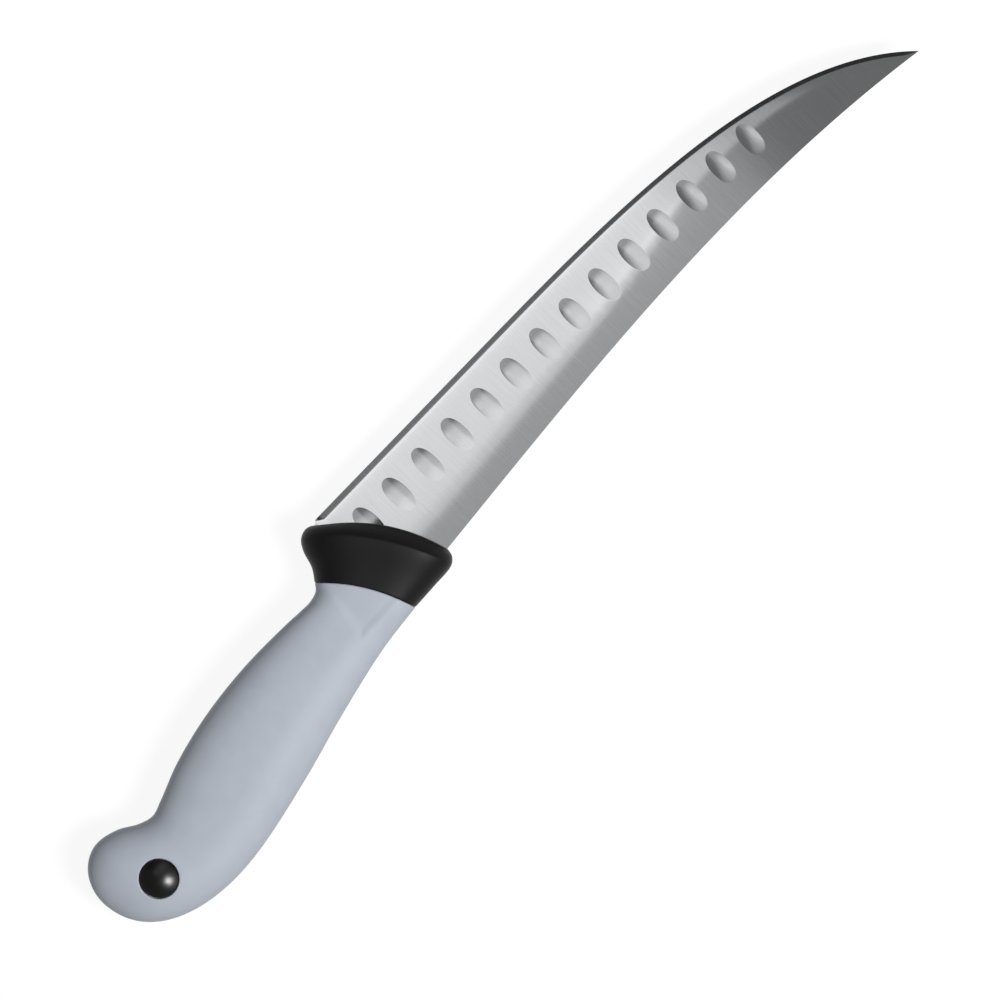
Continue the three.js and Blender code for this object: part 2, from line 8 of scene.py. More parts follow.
import bmesh
import bpy
import numpy as np
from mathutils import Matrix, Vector


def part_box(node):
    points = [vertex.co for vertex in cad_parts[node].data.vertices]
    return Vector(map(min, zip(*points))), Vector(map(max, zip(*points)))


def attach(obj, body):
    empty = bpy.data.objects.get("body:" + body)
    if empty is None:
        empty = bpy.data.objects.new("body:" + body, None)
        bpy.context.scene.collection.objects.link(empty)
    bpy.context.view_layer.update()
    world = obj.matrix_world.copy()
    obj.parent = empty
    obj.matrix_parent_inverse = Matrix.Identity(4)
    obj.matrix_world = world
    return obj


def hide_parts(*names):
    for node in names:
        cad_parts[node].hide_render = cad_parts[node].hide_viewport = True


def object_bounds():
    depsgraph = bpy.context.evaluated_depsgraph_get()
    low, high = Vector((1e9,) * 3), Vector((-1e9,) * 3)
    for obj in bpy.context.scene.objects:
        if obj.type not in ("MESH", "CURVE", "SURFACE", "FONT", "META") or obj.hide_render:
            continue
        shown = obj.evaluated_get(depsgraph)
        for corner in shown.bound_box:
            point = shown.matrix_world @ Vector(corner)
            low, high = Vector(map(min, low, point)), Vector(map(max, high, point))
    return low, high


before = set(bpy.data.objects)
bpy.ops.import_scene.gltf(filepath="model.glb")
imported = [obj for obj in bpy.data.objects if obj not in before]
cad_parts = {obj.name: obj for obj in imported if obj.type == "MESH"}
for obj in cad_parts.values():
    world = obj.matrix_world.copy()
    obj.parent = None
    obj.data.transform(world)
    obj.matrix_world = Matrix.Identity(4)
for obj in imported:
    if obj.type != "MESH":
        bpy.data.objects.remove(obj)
cad_low, cad_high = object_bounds()
print("solids:", sorted(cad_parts))

# %% [markdown]
# ## The drawing
#
# All shapes are drawn in millimetres on the blade: x runs to the tip, y from the spine to the cutting edge,
# z off the blade's middle plane, and zero is where the guard's front crosses the middle line. The tip and
# the edge of the solid blade tell where that zero lies in the frame, so nothing is fitted by eye.

# %% Drawing axes
MM = 0.001
BLADE_LENGTH = 209.6
EDGE_OFFSET = 16.8

blade_low, blade_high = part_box("blade")
drawing_zero = np.array([
    blade_high.x - BLADE_LENGTH * MM,
    blade_high.y - EDGE_OFFSET * MM,
    (blade_low.z + blade_high.z) / 2,
])
print("drawing zero in the frame, mm:", np.round(drawing_zero / MM, 2))

# %% [markdown]
# ## Small helpers
#
# A line through chosen points can be a polyline, a B-spline or a Hermite line. The Hermite line goes through
# its points and bends gently between them, which suits outlines drawn through a few measured places.


# %% Lines and blends
def mix(start, end, part):
    """Straight blend: start where part is 0, end where it is 1."""
    return start + (end - start) * part


def share(value, start, end):
    """How far value is from start to end, held between 0 and 1."""
    return np.clip((value - start) / (end - start), 0, 1)


def ease(part):
    """Smooth step: level at 0 and at 1."""
    return part * part * (3 - 2 * part)


def rounding(along, power):
    """Superellipse corner: 1 at along 0, 0 at along 1, square to the axes at both."""
    return np.maximum(0, 1 - along ** power) ** (1 / power)


def soft_min(first, second, width):
    """The smaller of two heights, with the crease between them rounded over width."""
    part = np.clip(0.5 + 0.5 * (second - first) / width, 0, 1)
    return mix(second, first, part) - width * part * (1 - part)


def bezier(part, corners):
    """Cubic curve: each corner weighted by its Bernstein polynomial."""
    weights = [(1 - part) ** 3, 3 * part * (1 - part) ** 2, 3 * part ** 2 * (1 - part), part ** 3]
    return np.moveaxis(np.array(weights), 0, -1) @ np.asarray(corners, float)


def hermite(at, knots, values, slopes):
    """Cubic between each two knots, with the given slope at each knot."""
    knots, values, slopes = (np.asarray(row, float) for row in (knots, values, slopes))
    stretch = np.clip(np.searchsorted(knots, at, side="right") - 1, 0, len(knots) - 2)
    step = knots[stretch + 1] - knots[stretch]
    part = (at - knots[stretch]) / step
    rise = part * part * (3 - 2 * part)
    leave = part * (1 - part) ** 2 * step
    arrive = part * part * (part - 1) * step
    bend = leave * slopes[stretch] + arrive * slopes[stretch + 1]
    return mix(values[stretch], values[stretch + 1], rise) + bend


def level_line(at, pairs):
    """Hermite line through [place, height] pairs: mean slopes inside, level at the last pair."""
    knots, values = np.asarray(pairs, float).T
    steps = np.diff(values) / np.diff(knots)
    slopes = np.concatenate([steps[:1], (steps[1:] + steps[:-1]) / 2, [0]])
    return hermite(at, knots, values, slopes)


def plan_line(part, points):
    """Hermite line through plan points at even shares, for an array of parts from 0 to 1."""
    points = np.asarray(points, float)
    spread = np.concatenate([points[:1], points, points[-1:]])
    slopes = (spread[2:] - spread[:-2]) / 2
    at = np.asarray(part) * (len(points) - 1)
    knots = np.arange(len(points))
    return np.stack([hermite(at, knots, points[:, k], slopes[:, k]) for k in (0, 1)], axis=-1)


# %% [markdown]
# A piece is a handful of point grids that share their borders. Joining them vertex by vertex would take
# book-keeping; merging what coincides and turning all faces outwards is shorter and closes every seam.


# %% From point grids to a piece
MERGE_MM = 0.0005


def make_piece(name, sheets, finishes, sharp=30.0):
    """One closed mesh from grids of drawing points. Each sheet is (grid, finish number)."""
    points, faces, numbers = [], [], []
    first = 0
    for grid, finish in sheets:
        rows, columns = grid.shape[:2]
        index = first + np.arange(rows * columns).reshape(rows, columns)
        corners = [index[:-1, :-1], index[1:, :-1], index[1:, 1:], index[:-1, 1:]]
        quads = np.stack(corners, axis=-1).reshape(-1, 4)
        points.append(grid.reshape(-1, 3))
        faces.append(quads)
        numbers.append(np.full(len(quads), finish))
        first += rows * columns
    mesh = bpy.data.meshes.new(name)
    mesh.from_pydata(drawing_zero + MM * np.concatenate(points), [], np.concatenate(faces).tolist())
    mesh.polygons.foreach_set("material_index", np.concatenate(numbers).astype(np.int32))
    work = bmesh.new()
    work.from_mesh(mesh)
    bmesh.ops.remove_doubles(work, verts=work.verts, dist=MERGE_MM * MM)
    bmesh.ops.recalc_face_normals(work, faces=work.faces)
    work.to_mesh(mesh)
    open_edges = sum(not edge.is_manifold for edge in work.edges)
    work.free()
    mesh.polygons.foreach_set("use_smooth", np.ones(len(mesh.polygons), bool))
    mesh.set_sharp_from_angle(angle=np.radians(sharp))
    for finish in finishes:
        mesh.materials.append(finish)
    piece = bpy.data.objects.new(name, mesh)
    bpy.context.scene.collection.objects.link(piece)
    print(name, len(mesh.vertices), "vertices,", len(mesh.polygons), "faces,", open_edges, "open edges")
    return piece


def mirrored(sheets):
    """The same sheets on the other side of the blade's middle plane."""
    return [(grid * [1, 1, -1], finish) for grid, finish in sheets]


def placed(piece, slot, *nodes):
    """The piece rides on the knife and stands for its solids, which are hidden. The slot is not used."""
    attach(piece, "root")
    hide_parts(*nodes)


# %% [markdown]
# ## Finishes
#
# A finish is a small node tree. One function adds a node, sets it and links it, so that each tree reads
# from top to bottom. Colours are written as the eye sees them and turned to linear light once.


# %% Nodes and colours
def linear(colour):
    """An sRGB hex colour in linear light, with alpha 1."""
    seen = np.array([int(colour[k:k + 2], 16) for k in (1, 3, 5)]) / 255
    light = np.where(seen <= 0.04045, seen / 12.92, ((seen + 0.055) / 1.055) ** 2.4)
    return (*light.tolist(), 1.0)


def set_inputs(tree, node, inputs):
    """Gives each named input of a node a value or a link."""
    for key, value in inputs.items():
        if isinstance(value, bpy.types.NodeSocket):
            tree.links.new(value, node.inputs[key])
        else:
            node.inputs[key].default_value = value


def add_node(tree, kind, inputs=None, **settings):
    """Adds one node and sets its properties and inputs."""
    node = tree.nodes.new(kind)
    for key, value in settings.items():
        setattr(node, key, value)
    set_inputs(tree, node, inputs or {})
    return node


def new_finish(name):
    """An empty material, its tree and its shader."""
    material = bpy.data.materials.new(name)
    material.use_nodes = True
    return material, material.node_tree, material.node_tree.nodes["Principled BSDF"]


# %% [markdown]
# ### Satin steel
#
# The blade is stainless steel, ground on a belt that ran from edge to spine. The fine scratches spread
# reflections along the blade and leave them narrow across it, so highlights smear towards tip and heel. A
# stretched noise draws the scratches. Real ones are some hundredths of a millimetre apart; they are drawn at
# half a millimetre, because finer ones don't show.


# %% Satin steel
def steel(name, light, dark, roughness, streak_mm, length_mm, anisotropic, depth_mm):
    """Ground steel: noise streak_mm wide along x and length_mm long along y varies tone and sheen."""
    material, tree, shader = new_finish(name)
    place = add_node(tree, "ShaderNodeTexCoord").outputs["Object"]
    scale = (1 / (streak_mm * MM), 1 / (length_mm * MM), 1 / (length_mm * MM))
    stretched = add_node(tree, "ShaderNodeMapping", {"Vector": place, "Scale": scale}).outputs["Vector"]
    noise = add_node(tree, "ShaderNodeTexNoise", {"Vector": stretched, "Scale": 1.0, "Detail": 3.0})
    streaks = noise.outputs["Fac"]
    tone = add_node(tree, "ShaderNodeMix", {"Factor": streaks}, data_type="RGBA")
    tone.inputs["A"].default_value = linear(dark)
    tone.inputs["B"].default_value = linear(light)
    sheen = add_node(tree, "ShaderNodeMapRange", {
        "Value": streaks, "To Min": roughness[0], "To Max": roughness[1],
    })
    bump = add_node(tree, "ShaderNodeBump", {"Height": streaks, "Strength": 0.5, "Distance": depth_mm * MM})
    tangent = add_node(tree, "ShaderNodeTangent", direction_type="UV_MAP", uv_map="grain")
    set_inputs(tree, shader, {
        "Base Color": tone.outputs["Result"],
        "Metallic": 1.0,
        "Roughness": sheen.outputs["Result"],
        "Anisotropic": anisotropic,
        "Tangent": tangent.outputs["Tangent"],
        "Normal": bump.outputs["Normal"],
    })
    return material


# Flat and ground face: a soft mirror with faint streaks from edge to spine.
satin_steel = steel("satin_ground_steel", "#d7d8d9", "#c6c8ca", (0.1, 0.13), 0.45, 12, 0.35, 0.0007)
# Hollows: more blurred than the flat, and a darker tone that is painted shade in the recesses, so that they
# stand out from it softly.
hollow_steel_painted_shade = steel("hollow_ground_steel_painted_shade", "#c6c7c9", "#babbbd", (0.13, 0.16), 0.6, 6, 0.2, 0.001)
# Sharpened bevel: a duller band along the bright face; its darker grey tone is painted shade.
honed_steel_painted_shade = steel("honed_bevel_steel_painted_shade", "#b2b4b6", "#9c9ea0", (0.2, 0.28), 0.4, 5, 0.3, 0.002)


# %% [markdown]
# ### Moulded plastics
#
# Guard, grip and rivet are moulded. A mould's spark-eroded skin leaves a fine pebble grain, a polished one
# leaves none, and a soft grip picks up faint scuffs that change its sheen more than its colour.


# %% Moulded plastics
def moulded(name, light, dark, roughness, grain_mm, grain_depth_mm, cloud_mm, specular):
    """Moulded plastic: pebble grain as bump, and slow clouds in tone and sheen."""
    material, tree, shader = new_finish(name)
    place = add_node(tree, "ShaderNodeTexCoord").outputs["Object"]
    fine, slow = 1 / (grain_mm * MM), 1 / (cloud_mm * MM)
    grain = add_node(tree, "ShaderNodeTexNoise", {"Vector": place, "Scale": fine, "Detail": 2.0})
    clouds = add_node(tree, "ShaderNodeTexNoise", {"Vector": place, "Scale": slow, "Detail": 4.0})
    tone = add_node(tree, "ShaderNodeMix", {"Factor": clouds.outputs["Fac"]}, data_type="RGBA")
    tone.inputs["A"].default_value = linear(dark)
    tone.inputs["B"].default_value = linear(light)
    sheen = add_node(tree, "ShaderNodeMapRange", {
        "Value": clouds.outputs["Fac"], "To Min": roughness[0], "To Max": roughness[1],
    })
    bump = add_node(tree, "ShaderNodeBump", {
        "Height": grain.outputs["Fac"], "Strength": 0.6, "Distance": grain_depth_mm * MM,
    })
    set_inputs(tree, shader, {
        "Base Color": tone.outputs["Result"],
        "Roughness": sheen.outputs["Result"],
        "Specular IOR Level": specular,
        "Normal": bump.outputs["Normal"],
    })
    return material


# Guard: deep black with a broad, dull sheen.
guard_plastic = moulded("satin_black_polyamide", "#0e0e10", "#0b0b0c", (0.46, 0.54), 0.5, 0.006, 6, 0.15)
# Core: plain dark grey, since it is hidden.
core_plastic = moulded("dark_grey_polypropylene", "#2c2c2d", "#262627", (0.5, 0.6), 0.6, 0.01, 8, 0.4)
# Grip: pale blue-grey, dull to the eye, with a hint of clouds.
soft_cover = moulded("soft_grey_elastomer", "#a9afb9", "#9fa5af", (0.5, 0.62), 0.45, 0.012, 5, 0.35)
# Rivet: near black and polished, with one small bright highlight.
rivet_black = moulded("polished_black_acetal", "#0b0b0c", "#080808", (0.26, 0.3), 1.2, 0.0005, 4, 0.4)
finishes = [satin_steel, hollow_steel_painted_shade, honed_steel_painted_shade, guard_plastic, core_plastic, soft_cover, rivet_black]
print("finishes:", [finish.name for finish in finishes])

# %% [markdown]
# ## Blade
#
# Seen across, the blade is a flat body, a long ground face, and a short bevel that ends in the edge. Each is
# a plane, and the lowest of the three planes is the surface. Rounding the creases between them a little, as
# grinding does, lets the light run over them softly.

# %% Blade outline
BELLY_START = 55.4
BELLY = [[BELLY_START, EDGE_OFFSET], [115.1, EDGE_OFFSET], [178.6, 16.7], [BLADE_LENGTH, -15.0]]
SPINE = [-17.8, -11.8, -4.0, -15.0]
HEEL_BACK, HEEL_START, HEEL_STEP = -15.4, -13.8, 1.2
BEVEL_END, BEVEL_FULL = -14.6, -11.8

belly_x, belly_y = bezier(np.linspace(0, 1, 4001), BELLY).T


def edge_line(x):
    """Height of the cutting edge: straight, then the belly curve."""
    return np.where(x <= BELLY_START, EDGE_OFFSET, np.interp(x, belly_x, belly_y))


def edge_slope(x):
    """Slope of the belly curve, level on the straight stretch."""
    return np.where(x <= BELLY_START, 0, np.interp(x, belly_x, np.gradient(belly_y, belly_x)))


def spine_line(x):
    """Height of the spine: a cubic in x whose corners are evenly spaced along the blade."""
    return bezier(x / BLADE_LENGTH, np.reshape(SPINE, (4, 1)))[..., 0]


sample_x = np.array([8, 105])
print("blade height at guard and mid-length, mm:", np.round(edge_line(sample_x) - spine_line(sample_x), 1))

# %% [markdown]
# The tang runs on from the heel inside the handle, so the same grid goes on with other borders: past the
# heel its upper and lower lines are the tang's. Nothing of it shows, but the piece stays whole.

# %% Tang and lower border
TANG_HALF_THICKNESS = 1.4
TANG_ROOT, TANG_RIVET = np.array([-7.17, -7.43]), np.array([-121.26, -23.68])
TANG_HALF_WIDTHS = (7.5, 5.75)
TANG_END, TANG_FRONT = -128.27, 2.0
GUARD_FRONT = [[-14.4, 15.0], [7.2, -17.6]]
FRONT_BOW, HEEL_DEPTH, HEEL_ARC_END = 3.65, 4.5, -1.4


def front_arc(v, depth):
    """Plan points at a depth behind the guard's bowed front: v is 1 at the finger side, -1 at the back."""
    finger, back = np.array(GUARD_FRONT)
    middle, reach = (finger + back) / 2, (finger - back) / 2
    normal = np.array([reach[1], -reach[0]]) / np.hypot(*reach)
    return middle + np.multiply.outer(v, reach) + np.multiply.outer(FRONT_BOW * (1 - v * v) - depth, normal)


heel_x, heel_y = front_arc(np.linspace(1, HEEL_ARC_END, 200), HEEL_DEPTH).T


def tang_line(x, side):
    """Upper (1) or lower (-1) border of the tang: a taper about its middle line, rounded off at the end."""
    along = share(x, TANG_ROOT[0], TANG_RIVET[0])
    past = (x - TANG_ROOT[0]) / (TANG_RIVET[0] - TANG_ROOT[0])
    middle = mix(TANG_ROOT[1], TANG_RIVET[1], past)
    width = mix(*TANG_HALF_WIDTHS, along) * rounding(share(x, TANG_RIVET[0], TANG_END), 2)
    return middle + side * width


def low_line(x):
    """Lower border: the spine, the heel's shoulder inside the guard, or the tang."""
    tang = tang_line(x, -1)
    heel = np.maximum(spine_line(x), np.interp(x, heel_x, heel_y))
    return np.where(x < HEEL_BACK, tang, np.where(x < TANG_FRONT, np.minimum(heel, tang), heel))


def top_line(x):
    """Upper border: the cutting edge, stepped in over the bevel's run-out, or the tang."""
    step = HEEL_STEP * (1 - share(x, HEEL_BACK, HEEL_START))
    return np.where(x < HEEL_BACK, tang_line(x, 1), edge_line(x) - step)


# %% [markdown]
# The flats thin towards the tip, and the last few millimetres come to a point, so every thickness is also
# held to a share of what height is left.

# %% Blade section
TAPER_LINE = [[12, 1.5], [50, 1.34], [100, 1.12], [128, 0.85], [152, 0.68], [BLADE_LENGTH, 0.55]]
SHOULDER_HALF, GRIND_SLOPE = 0.45, 0.042
BEVEL_AT_HEEL, BEVEL_AT_TIP = 1.86, 1.2
CREASE_AT_HEEL, CREASE_AT_TIP, SHOULDER_CREASE = 0.18, 0.09, 0.06
CREASE_FROM, CREASE_TO = 20, 130
BEVEL_MOST, SHOULDER_MOST, GRIND_MOST = 0.5, 0.8, 0.8
EDGE_FADE = 0.3
BELLIED, BELLIED_REACH = 0.05, 3.0
POINT_SHARE = 0.16
WALL = 0.02


def section(x):
    """Shoulder height, shoulder half thickness and body half thickness at each x."""
    height = np.maximum(edge_line(x) - spine_line(x), 0)
    flat = level_line(np.maximum(x, TAPER_LINE[0][0]), TAPER_LINE)
    width = mix(BEVEL_AT_HEEL, BEVEL_AT_TIP, share(x, 0, BLADE_LENGTH)) * np.hypot(1, edge_slope(x))
    bevel = np.minimum(width, BEVEL_MOST * height) * share(x, BEVEL_END, BEVEL_FULL)
    shoulder = np.maximum(np.minimum(edge_line(x) - bevel, top_line(x) - WALL), spine_line(x))
    shoulder_half = np.minimum(np.minimum(SHOULDER_HALF, SHOULDER_MOST * flat), POINT_SHARE * height)
    body_half = np.minimum(flat, shoulder_half + GRIND_MOST * GRIND_SLOPE * (shoulder - spine_line(x)))
    return shoulder, shoulder_half, body_half


def blade_half(x, y):
    """Half thickness: the lowest of flat, ground face and bevel, with soft creases. The ground face swells a
    little towards the bevel, and the tang is a plain plate."""
    shoulder, shoulder_half, body_half = section(x)
    inward = np.maximum(shoulder - y, -WALL)
    ground = shoulder_half + GRIND_SLOPE * inward + BELLIED * (1 - np.exp(-inward / BELLIED_REACH))
    bevel = shoulder_half * (top_line(x) - y) / np.maximum(top_line(x) - shoulder, WALL)
    fade = share(top_line(x) - y, 0, EDGE_FADE)
    crease = np.minimum(SHOULDER_CREASE * fade, shoulder_half / 4) + 1e-9
    grind_crease = mix(CREASE_AT_HEEL, CREASE_AT_TIP, share(x, CREASE_FROM, CREASE_TO))
    face = soft_min(body_half, ground, np.minimum(grind_crease, body_half) + 1e-9)
    blade = soft_min(face, bevel, crease)
    return np.where(x < HEEL_BACK, TANG_HALF_THICKNESS, np.maximum(blade, 0))


sample_x = np.array([20, 100, 180])
print("half thickness on the flat at 20, 100 and 180 mm:", np.round(section(sample_x)[2], 2))

# %% [markdown]
# ### Scallops
#
# Hollow-ground ovals stand in a row on each side, those of the far side half a pitch further on. A plain
# fine grid would leave saw-toothed rims. Instead each oval has a cell of its own, with rings that grow from
# its middle to its rim and then out to the cell's border, so the rim is a true edge. Pairs of values below
# hold at the heel and at the tip.

# %% Scallop row
SCALLOP_COUNT, SCALLOP_PITCH, SCALLOP_FIRST, ROW_BOW = 14, 12.29, -3.5, 0.7
ROW_HEIGHT, ROW_DIP, DIP_POWER = (4.45, 3.3), 1.2, 16
OVAL_HALF_HEIGHT, OVAL_SHRINK, SHRINK_POWER = (6.2, 5.75), 0.45, 8
OVAL_HALF_WIDTH, WIDTH_POWER = (3.08, 2.9), 6
OVAL_LEAN, LEAN_POWER = (1.2, -4.0), 4
OVAL_DEPTH, OVAL_TILT, OVAL_POWER = (0.34, 0.2), (0.1, 0.75), 2.2
BAND_MARGIN, BAND_GAP = 1.0, 0.4
PLAIN_UPPER, PLAIN_LOWER = 0.9, 0.35
CELL_STEPS = 24


def row_place(count):
    """Where the row has come to after a count of ovals, which may be a fraction. The ovals lie ahead of an
    even pitch by a cubic that is ROW_BOW at its highest, two thirds along."""
    along = count / (SCALLOP_COUNT - 1)
    return SCALLOP_FIRST + SCALLOP_PITCH * count + ROW_BOW * 27 / 4 * along ** 2 * (1 - along)


BAND_START, BAND_END = row_place(-0.5), row_place(SCALLOP_COUNT - 0.5)


def scallop_middle(x):
    """Height of the row's centre line, half the height of an oval, and its lean. All change faster near
    the tip, as a high power of the way along."""
    along = share(x, BAND_START, BAND_END)
    middle = mix(*ROW_HEIGHT, along) - ROW_DIP * along ** DIP_POWER
    half_height = mix(*OVAL_HALF_HEIGHT, along) - OVAL_SHRINK * along ** SHRINK_POWER
    return middle, half_height, np.radians(mix(*OVAL_LEAN, along ** LEAN_POWER))


def band(x):
    """Upper and lower border of the scallop band. Past the row it narrows with the blade."""
    middle, half = scallop_middle(x)[:2]
    low, high = low_line(x), np.where(x < HEEL_BACK, top_line(x), section(x)[0])
    upper = np.minimum(middle + half + BAND_MARGIN, high - BAND_GAP)
    lower = middle - half - BAND_MARGIN
    beyond = (x > BAND_END) | (x < HEEL_BACK)
    upper = np.where(beyond, mix(low, high, PLAIN_UPPER), upper)
    return upper, np.where(beyond, mix(low, high, PLAIN_LOWER), lower)


print("scallop band from", round(BAND_START, 1), "to", round(BAND_END, 1), "mm")

# %% [markdown]
# The grid needs a station at every place where a border bends, and at every column of a scallop's cell.
# Even stations would miss the heel's small steps, so those are listed. At the point they crowd towards it.

# %% Blade stations
HEEL_WALL, POINT_CROWDING = 0.4, 1.4
HEEL_STOPS = [HEEL_BACK, -15, BEVEL_END, -14.2, HEEL_START, -13.3, -12.8, -12.3, BEVEL_FULL, -11, -10.4]

tang_x = np.concatenate([
    np.linspace(TANG_END, TANG_RIVET[0], 14)[:-1],
    np.linspace(TANG_RIVET[0], HEEL_BACK - HEEL_WALL, 24),
])
row_x = row_place(np.arange(SCALLOP_COUNT * CELL_STEPS + 1) / CELL_STEPS - 0.5)
point_x = BLADE_LENGTH - (BLADE_LENGTH - BAND_END) * (1 - np.linspace(0, 1, 90)[1:]) ** POINT_CROWDING
stations = np.concatenate([tang_x, HEEL_STOPS, row_x, point_x])
row_from = len(tang_x) + len(HEEL_STOPS)
print(len(stations), "stations along the blade")

# %% [markdown]
# One side of the blade is a stack of strips between lines that run along it: edge, shoulder, band, spine.

# %% Blade strips
SHOULDER_ROUND, ROUND_MOST, BEVEL_FOLD = 0.35, 0.3, 0.25
FLAT, HOLLOW, HONED = 0, 1, 2


def lifted(x, y, side):
    """Drawing points on the blade's side at plan places x, y."""
    return np.stack([x, y, side * blade_half(x, y)], axis=-1)


def strip(start, end, parts, side, x=stations):
    """Grid on the blade's side between two lines, with a row at each part of the way."""
    y = mix(start[:, None], end[:, None], parts)
    return lifted(np.broadcast_to(x[:, None], y.shape), y, side)


def spine_face(side):
    """The spine is square to the flats: it drops from the flat's border to the middle plane."""
    low = low_line(stations)
    rim = lifted(stations, low, side)
    return np.stack([rim, rim * [1, 1, 0]], axis=1)


def blade_strips(side, cells_from, cells_to):
    """Strips of one side: bevel, ground face, plain ends of the band, and the flat down to the spine."""
    top = top_line(stations)
    blade = stations >= HEEL_BACK
    shoulder = np.where(blade, np.minimum(section(stations)[0], top), top)
    upper, lower = band(stations)
    room = np.maximum(shoulder - upper, 0)
    settled = shoulder - np.minimum(SHOULDER_ROUND, ROUND_MOST * room)
    raised = np.where(blade, mix(shoulder, top, BEVEL_FOLD), top)
    edge = strip(top, raised, np.array([0, 1]), side)
    edge[:, 0, 2] = 0
    plain = np.linspace(0, 1, CELL_STEPS + 1)
    return [
        (edge, HONED),
        (strip(raised, shoulder, np.array([0, 0.5, 1]), side), HONED),
        (strip(shoulder, settled, np.array([0, 0.5, 1]), side), FLAT),
        (strip(settled, upper, np.linspace(0, 1, 6), side), FLAT),
        (strip(upper, lower, plain, side)[:cells_from + 1], FLAT),
        (strip(upper, lower, plain, side)[cells_to:], FLAT),
        (strip(lower, low_line(stations), np.linspace(0, 1, 12), side), FLAT),
        (spine_face(side), FLAT),
    ]


# %% [markdown]
# In a cell, every border point looks at the oval's middle and meets the rim on the way. The floor of the
# oval is a paraboloid, tilted so that it is deepest a little towards the edge, as a wheel held at a slant
# leaves it.

# %% Scallop cells
RIM_PARTS = np.array([0, 0.06, 0.25, 0.55, 1.0])
BOWL_PARTS = np.array([1.0, 0.97, 0.9, 0.8, 0.68, 0.55, 0.42, 0.28, 0.14, 0.0])


def scallop_cell(number, side):
    """Rings from the cell's border to the rim, and from the rim to the middle of the hollow."""
    x = row_place(number + np.arange(CELL_STEPS + 1) / CELL_STEPS - 0.5)
    middle_x = row_place(number)
    upper, lower = band(x)
    climb = np.linspace(0, 1, CELL_STEPS + 1)
    border = np.concatenate([
        np.stack([x, lower], axis=-1)[:-1],
        np.stack([np.full_like(climb, x[-1]), mix(upper[-1], lower[-1], 1 - climb)], axis=-1)[:-1],
        np.stack([x, upper], axis=-1)[:0:-1],
        np.stack([np.full_like(climb, x[0]), mix(upper[0], lower[0], climb)], axis=-1),
    ])
    middle_y, half_height, lean = scallop_middle(np.array(middle_x))
    middle = np.array([middle_x, middle_y])
    axes = np.array([[np.cos(lean), np.sin(lean)], [-np.sin(lean), np.cos(lean)]])
    along = share(middle_x, BAND_START, BAND_END)
    sizes = np.array([mix(*OVAL_HALF_WIDTH, along ** WIDTH_POWER), half_height])
    local = (border - middle) @ axes.T / sizes
    local /= np.sum(np.abs(local) ** OVAL_POWER, axis=1, keepdims=True) ** (1 / OVAL_POWER)
    rim = middle + local * sizes @ axes
    land = mix(rim[None], border[None], RIM_PARTS[:, None, None])
    bowl = mix(middle, rim[None], BOWL_PARTS[:, None, None])
    hollow = lifted(bowl[..., 0], bowl[..., 1], side)
    tilt = 1 + mix(*OVAL_TILT, along) * BOWL_PARTS[:, None] * local[:, 1]
    hollow[..., 2] -= side * mix(*OVAL_DEPTH, along) * (1 - BOWL_PARTS[:, None] ** 2) * tilt
    return [(lifted(land[..., 0], land[..., 1], side), FLAT), (hollow, HOLLOW)]


# %% [markdown]
# Both sides are joined into one piece. The far side's row starts half a pitch on, so it has one oval fewer.
# The plan place of each corner is kept as a map named grain, which tells the shader how the scratches run.

# %% Blade piece
blade_sheets = []
for side, shift in ((1, 0), (-1, 1)):
    count = SCALLOP_COUNT - shift
    cells_from = row_from + shift * CELL_STEPS // 2
    blade_sheets += blade_strips(side, cells_from, cells_from + count * CELL_STEPS)
    for k in range(count):
        blade_sheets += scallop_cell(k + shift / 2, side)

blade_finishes = [satin_steel, hollow_steel_painted_shade, honed_steel_painted_shade]
blade = make_piece("blade_steel_scalloped", blade_sheets, blade_finishes, sharp=5.0)
grain = blade.data.uv_layers.new(name="grain")
corners = np.empty(len(blade.data.loops), np.int32)
blade.data.loops.foreach_get("vertex_index", corners)
places = np.empty(len(blade.data.vertices) * 3)
blade.data.vertices.foreach_get("co", places)
grain.uv.foreach_set("vector", places.reshape(-1, 3)[corners, :2].ravel())
placed(blade, "blade_steel", "blade")

# %% [markdown]
# ## Handle rings
#
# Guard and grip are lofts: at each station a ring runs from a point on the finger side to one on the back.
# The ring is a superellipse, squarer than an ellipse, and bows towards the tip so that the joint is curved.
# A skin's breadth is taken off all round, so the fine surface stays inside the solid's box.


# %% Ring surface
SKIN = 0.02


def ring_points(finger, back, bow, thickness, fullness, inset, v):
    """Upper half of each ring. v runs from 1 at the finger side to -1 at the back."""
    chord = finger - back
    length = np.linalg.norm(chord, axis=-1, keepdims=True)
    direction = chord / np.maximum(length, 1e-9)
    normal = np.stack([direction[..., 1], -direction[..., 0]], axis=-1)
    inset = inset + SKIN
    reach = np.maximum(length / 2 - inset[..., None], 0)
    plan = (finger + back) / 2 + direction * reach * v[..., None] + normal * (bow * (1 - v * v))[..., None]
    height = np.maximum(thickness / 2 - inset, 0) * rounding(np.abs(v), fullness)
    return np.concatenate([plan, height[..., None]], axis=-1)


RING_STEPS = 72
RING_EVENING = 0.85
across = np.cos(np.linspace(0, np.pi, RING_STEPS + 1))
across = np.sign(across) * np.abs(across) ** RING_EVENING


def closing(row, steps):
    """Cap between an upper half ring and its mirror image."""
    return np.stack([row * [1, 1, part] for part in np.linspace(1, -1, steps + 1)])


# %% [markdown]
# ## Guard
#
# The guard is drawn by its two ends in plan: the horn that stops the finger, and the corner on the spine
# side. Its front is rounded over like a quarter of an ellipse, and its rear edge has a small round where the
# grip begins.

